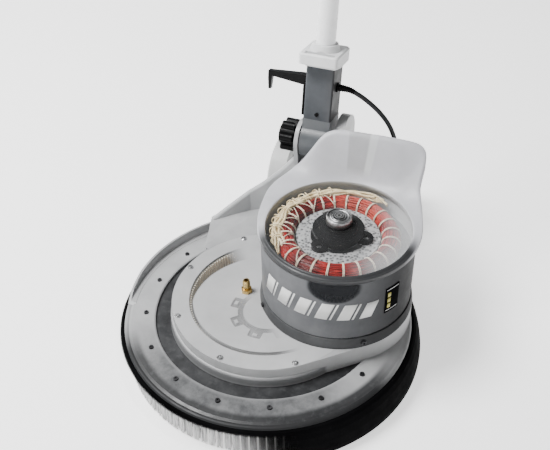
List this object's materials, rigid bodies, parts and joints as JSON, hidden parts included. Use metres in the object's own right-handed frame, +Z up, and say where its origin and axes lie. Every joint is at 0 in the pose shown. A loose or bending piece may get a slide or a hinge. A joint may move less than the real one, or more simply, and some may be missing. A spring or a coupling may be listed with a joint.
{
  "type": "high speed burnisher",
  "caption": "Single-disc floor machine: round brush deck with rubber skirt, offset upright motor geared to the brush, tilting tube handle, transport wheels.",
  "frame": {"origin": "on the floor, at the foot of the brush's vertical axis, where the bristle tips meet the floor", "axes": "+Z up along the brush axis; -Y is the front, +Y the handle and wheel side; +X the side the motor stands on"},
  "size_m": [0.45, 0.6378, 1.2141],
  "materials": {
    "light_grey": "satin",
    "bright_trim": "polished",
    "black_rubber": "matt",
    "bright_steel": "machined",
    "dark_steel": "oxide black",
    "brass": "machined",
    "cast_alloy": "as cast",
    "mid_grey": "satin",
    "black_plastic": "moulded",
    "core_steel": "laminated",
    "copper_red": "enamelled copper",
    "cream_cord": "waxed cord",
    "clear": "clear",
    "cream_plastic": "moulded",
    "gear_tan": "nylon",
    "brush_back": "sealed",
    "bristle_white": "fibre",
    "tube_white": "satin",
    "lever_red": "moulded",
    "button_yellow": "moulded",
    "wheel_grey": "moulded"
  },
  "bodies": {
    "chassis": {"deck_casting": "light_grey", "lip_trim": "bright_trim", "bumper_skirt": "black_rubber", "gear_cover": "light_grey", "gear_cover_screws": "bright_steel", "flange_screws": "dark_steel", "water_inlet": "brass", "spindle": "bright_steel", "spindle_bearings": "bright_steel", "lower_end_shield": "cast_alloy", "motor_base_ring": "mid_grey", "motor_shell": "mid_grey", "shell_screws": "dark_steel", "label_plate": "black_plastic", "stator_core": "core_steel", "stator_winding": "copper_red", "winding_lacing": "cream_cord", "lead_bundle": "cream_cord", "motor_cap": "light_grey", "motor_lid": "clear", "electrical_box": "black_plastic", "capacitor": "black_plastic", "terminal_block": "cream_plastic", "box_cable_gland": "black_plastic", "handle_bracket": "light_grey", "bracket_rib": "light_grey", "pivot_bolt": "bright_steel", "pivot_washers": "bright_steel", "wheel_axle": "bright_steel", "axle_caps": "black_plastic", "motor_cable": "black_rubber"},
    "drive": {"drive_plate": "cast_alloy", "ring_gear": "gear_tan", "brush_bolts": "dark_steel", "brush_block": "brush_back", "bristles": "bristle_white"},
    "rotor": {"rotor_core": "core_steel", "rotor_end_rings": "cast_alloy", "motor_shaft": "bright_steel", "centrifugal_switch": "black_plastic", "motor_bearings": "bright_steel", "drive_pinion": "bright_steel"},
    "handle": {"pivot_drum": "light_grey", "handle_column": "mid_grey", "column_screw": "dark_steel", "tank_hook_collar": "light_grey", "handle_tube": "tube_white", "cord_hook_lower": "black_plastic", "column_cable_gland": "black_plastic", "head_housing": "black_plastic", "head_cover": "light_grey", "grips": "black_rubber", "cord_hook_upper": "black_plastic", "mains_gland": "black_plastic"},
    "trigger_left": {"trigger_left": "lever_red"},
    "trigger_right": {"trigger_right": "lever_red"},
    "safety_button": {"safety_button": "button_yellow"},
    "tilt_knob": {"tilt_knob": "black_plastic"},
    "wheel_left": {"wheel_left": "wheel_grey"},
    "wheel_right": {"wheel_right": "wheel_grey"}
  },
  "joints": [
    {"name": "brush_spin", "type": "hinge", "parent": "chassis", "child": "drive", "pos_m": [0, 0, 0.05], "axis": [0, 0, 1], "continuous": true},
    {"name": "rotor_spin", "type": "hinge", "parent": "chassis", "child": "rotor", "pos_m": [0.0898, 0.04168, 0.15], "axis": [0, 0, 1], "continuous": true},
    {"name": "handle_tilt", "type": "hinge", "parent": "chassis", "child": "handle", "pos_m": [0.005, 0.201, 0.232], "axis": [-1, 0, 0], "range_deg": [-10, 55]},
    {"name": "knob_turn", "type": "hinge", "parent": "chassis", "child": "tilt_knob", "pos_m": [-0.039, 0.201, 0.232], "axis": [-1, 0, 0], "range_deg": [0, 360]},
    {"name": "wheel_left_spin", "type": "hinge", "parent": "chassis", "child": "wheel_left", "pos_m": [-0.0895, 0.325, 0.07], "axis": [1, 0, 0], "continuous": true},
    {"name": "wheel_right_spin", "type": "hinge", "parent": "chassis", "child": "wheel_right", "pos_m": [0.0895, 0.325, 0.07], "axis": [1, 0, 0], "continuous": true},
    {"name": "trigger_left_pull", "type": "hinge", "parent": "handle", "child": "trigger_left", "pos_m": [-0.0435, 0.36325, 1.14063], "axis": [-1, 0, 0], "range_deg": [0, 10], "stiffness_Nm_per_rad": 1.5, "springref_deg": -14.32},
    {"name": "trigger_right_pull", "type": "hinge", "parent": "handle", "child": "trigger_right", "pos_m": [0.0535, 0.36325, 1.14063], "axis": [-1, 0, 0], "range_deg": [0, 10], "stiffness_Nm_per_rad": 1.5, "springref_deg": -14.32},
    {"name": "safety_button_press", "type": "slide", "parent": "handle", "child": "safety_button", "axis": [0, 0.9848, -0.1736], "range_m": [0, 0.0035], "stiffness_N_per_m": 600, "springref_m": -0.002}
  ],
  "couplings": [
    {"joint": "rotor_spin", "follows": "brush_spin", "ratio": 9.25}
  ]
}
